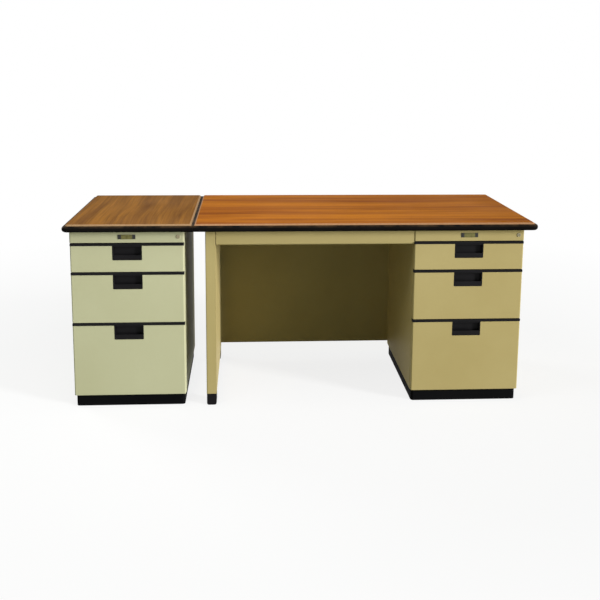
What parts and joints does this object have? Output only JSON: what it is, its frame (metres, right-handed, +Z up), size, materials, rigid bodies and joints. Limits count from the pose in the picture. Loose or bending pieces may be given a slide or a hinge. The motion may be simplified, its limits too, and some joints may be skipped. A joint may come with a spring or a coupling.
{
  "type": "pedestal desk",
  "caption": "Steel office desk with a wood-laminate top, drawer pedestals, kneehole with modesty panel, panel leg and a butted side unit.",
  "frame": {"origin": "on the floor, under the middle of the two tops' outline", "axes": "+X along the width to the right seen from the front, -Y the way the drawers face, +Z up"},
  "size_m": [1.876, 0.76, 0.75],
  "materials": {
    "desk_laminate": "satin wood-grain laminate, grain along the width",
    "side_laminate": "satin wood-grain laminate, grain front to back",
    "edging_black": "satin black vinyl edging",
    "desk_paint": "cream baked enamel with a fine orange peel",
    "side_paint": "cream baked enamel with a fine orange peel",
    "drawer_paint": "thin cream enamel inside the drawers",
    "plinth_black": "satin black enamel",
    "trim_black": "satin black extruded strip",
    "pull_black": "fine-grained black moulding",
    "foot_black": "black moulding",
    "runner_steel": "zinc-plated rolled steel",
    "zinc_steel": "zinc-plated steel",
    "lock_chrome": "plated lock face",
    "badge_metal": "bare anodised plate"
  },
  "bodies": {
    "frame": {"desk_top_board": "desk_laminate", "desk_top_edging": "edging_black", "side_top_board": "side_laminate", "side_top_edging": "edging_black", "leg_outer_pan": "desk_paint", "leg_inner_panel": "desk_paint", "leg_feet": "foot_black", "kneehole_apron": "desk_paint", "modesty_panel": "desk_paint", "floor_pans": "runner_steel", "top_stretchers": "runner_steel", "link_plates": "zinc_steel", "top_screws": "zinc_steel", "cabinet_runners": "runner_steel", "lock_barrels": "lock_chrome", "badge_plates": "badge_metal", "desk_left_side": "desk_paint", "desk_right_side": "desk_paint", "desk_back_panel": "desk_paint", "desk_front_rail": "desk_paint", "desk_plinth": "plinth_black", "side_left_side": "side_paint", "side_right_side": "side_paint", "side_back_panel": "side_paint", "side_front_rail": "side_paint", "side_plinth": "plinth_black"},
    "desk_top_drawer": {"desk_top_drawer_front": "desk_paint", "desk_top_drawer_trim": "trim_black", "desk_top_drawer_pull": "pull_black", "desk_top_drawer_box": "drawer_paint", "desk_top_drawer_runners": "runner_steel"},
    "desk_middle_drawer": {"desk_middle_drawer_front": "desk_paint", "desk_middle_drawer_trim": "trim_black", "desk_middle_drawer_pull": "pull_black", "desk_middle_drawer_box": "drawer_paint", "desk_middle_drawer_runners": "runner_steel"},
    "desk_file_drawer": {"desk_file_drawer_front": "desk_paint", "desk_file_drawer_trim": "trim_black", "desk_file_drawer_pull": "pull_black", "desk_file_drawer_box": "drawer_paint", "desk_file_drawer_runners": "runner_steel"},
    "desk_file_middle": {"desk_file_middle_runners": "runner_steel"},
    "desk_lock": {"desk_lock_plug": "lock_chrome"},
    "side_top_drawer": {"side_top_drawer_front": "side_paint", "side_top_drawer_trim": "trim_black", "side_top_drawer_pull": "pull_black", "side_top_drawer_box": "drawer_paint", "side_top_drawer_runners": "runner_steel"},
    "side_middle_drawer": {"side_middle_drawer_front": "side_paint", "side_middle_drawer_trim": "trim_black", "side_middle_drawer_pull": "pull_black", "side_middle_drawer_box": "drawer_paint", "side_middle_drawer_runners": "runner_steel"},
    "side_file_drawer": {"side_file_drawer_front": "side_paint", "side_file_drawer_trim": "trim_black", "side_file_drawer_pull": "pull_black", "side_file_drawer_box": "drawer_paint", "side_file_drawer_runners": "runner_steel"},
    "side_file_middle": {"side_file_middle_runners": "runner_steel"},
    "side_lock": {"side_lock_plug": "lock_chrome"}
  },
  "joints": [
    {"name": "desk_top_drawer_slide", "type": "slide", "parent": "frame", "child": "desk_top_drawer", "axis": [0, -1, 0], "range_m": [0, 0.38]},
    {"name": "desk_middle_drawer_slide", "type": "slide", "parent": "frame", "child": "desk_middle_drawer", "axis": [0, -1, 0], "range_m": [0, 0.38]},
    {"name": "desk_file_drawer_slide", "type": "slide", "parent": "frame", "child": "desk_file_drawer", "axis": [0, -1, 0], "range_m": [0, 0.52]},
    {"name": "desk_file_middle_slide", "type": "slide", "parent": "frame", "child": "desk_file_middle", "axis": [0, -1, 0], "range_m": [0, 0.26]},
    {"name": "desk_lock_turn", "type": "hinge", "parent": "frame", "child": "desk_lock", "pos_m": [0.867, -0.344, 0.6965], "axis": [0, -1, 0], "range_deg": [0, 90]},
    {"name": "side_top_drawer_slide", "type": "slide", "parent": "frame", "child": "side_top_drawer", "axis": [0, -1, 0], "range_m": [0, 0.38]},
    {"name": "side_middle_drawer_slide", "type": "slide", "parent": "frame", "child": "side_middle_drawer", "axis": [0, -1, 0], "range_m": [0, 0.38]},
    {"name": "side_file_drawer_slide", "type": "slide", "parent": "frame", "child": "side_file_drawer", "axis": [0, -1, 0], "range_m": [0, 0.52]},
    {"name": "side_file_middle_slide", "type": "slide", "parent": "frame", "child": "side_file_middle", "axis": [0, -1, 0], "range_m": [0, 0.26]},
    {"name": "side_lock_turn", "type": "hinge", "parent": "frame", "child": "side_lock", "pos_m": [-0.491, -0.344, 0.6965], "axis": [0, -1, 0], "range_deg": [0, 90]}
  ],
  "couplings": [
    {"joint": "desk_file_middle_slide", "follows": "desk_file_drawer_slide", "ratio": 0.5},
    {"joint": "side_file_middle_slide", "follows": "side_file_drawer_slide", "ratio": 0.5}
  ]
}
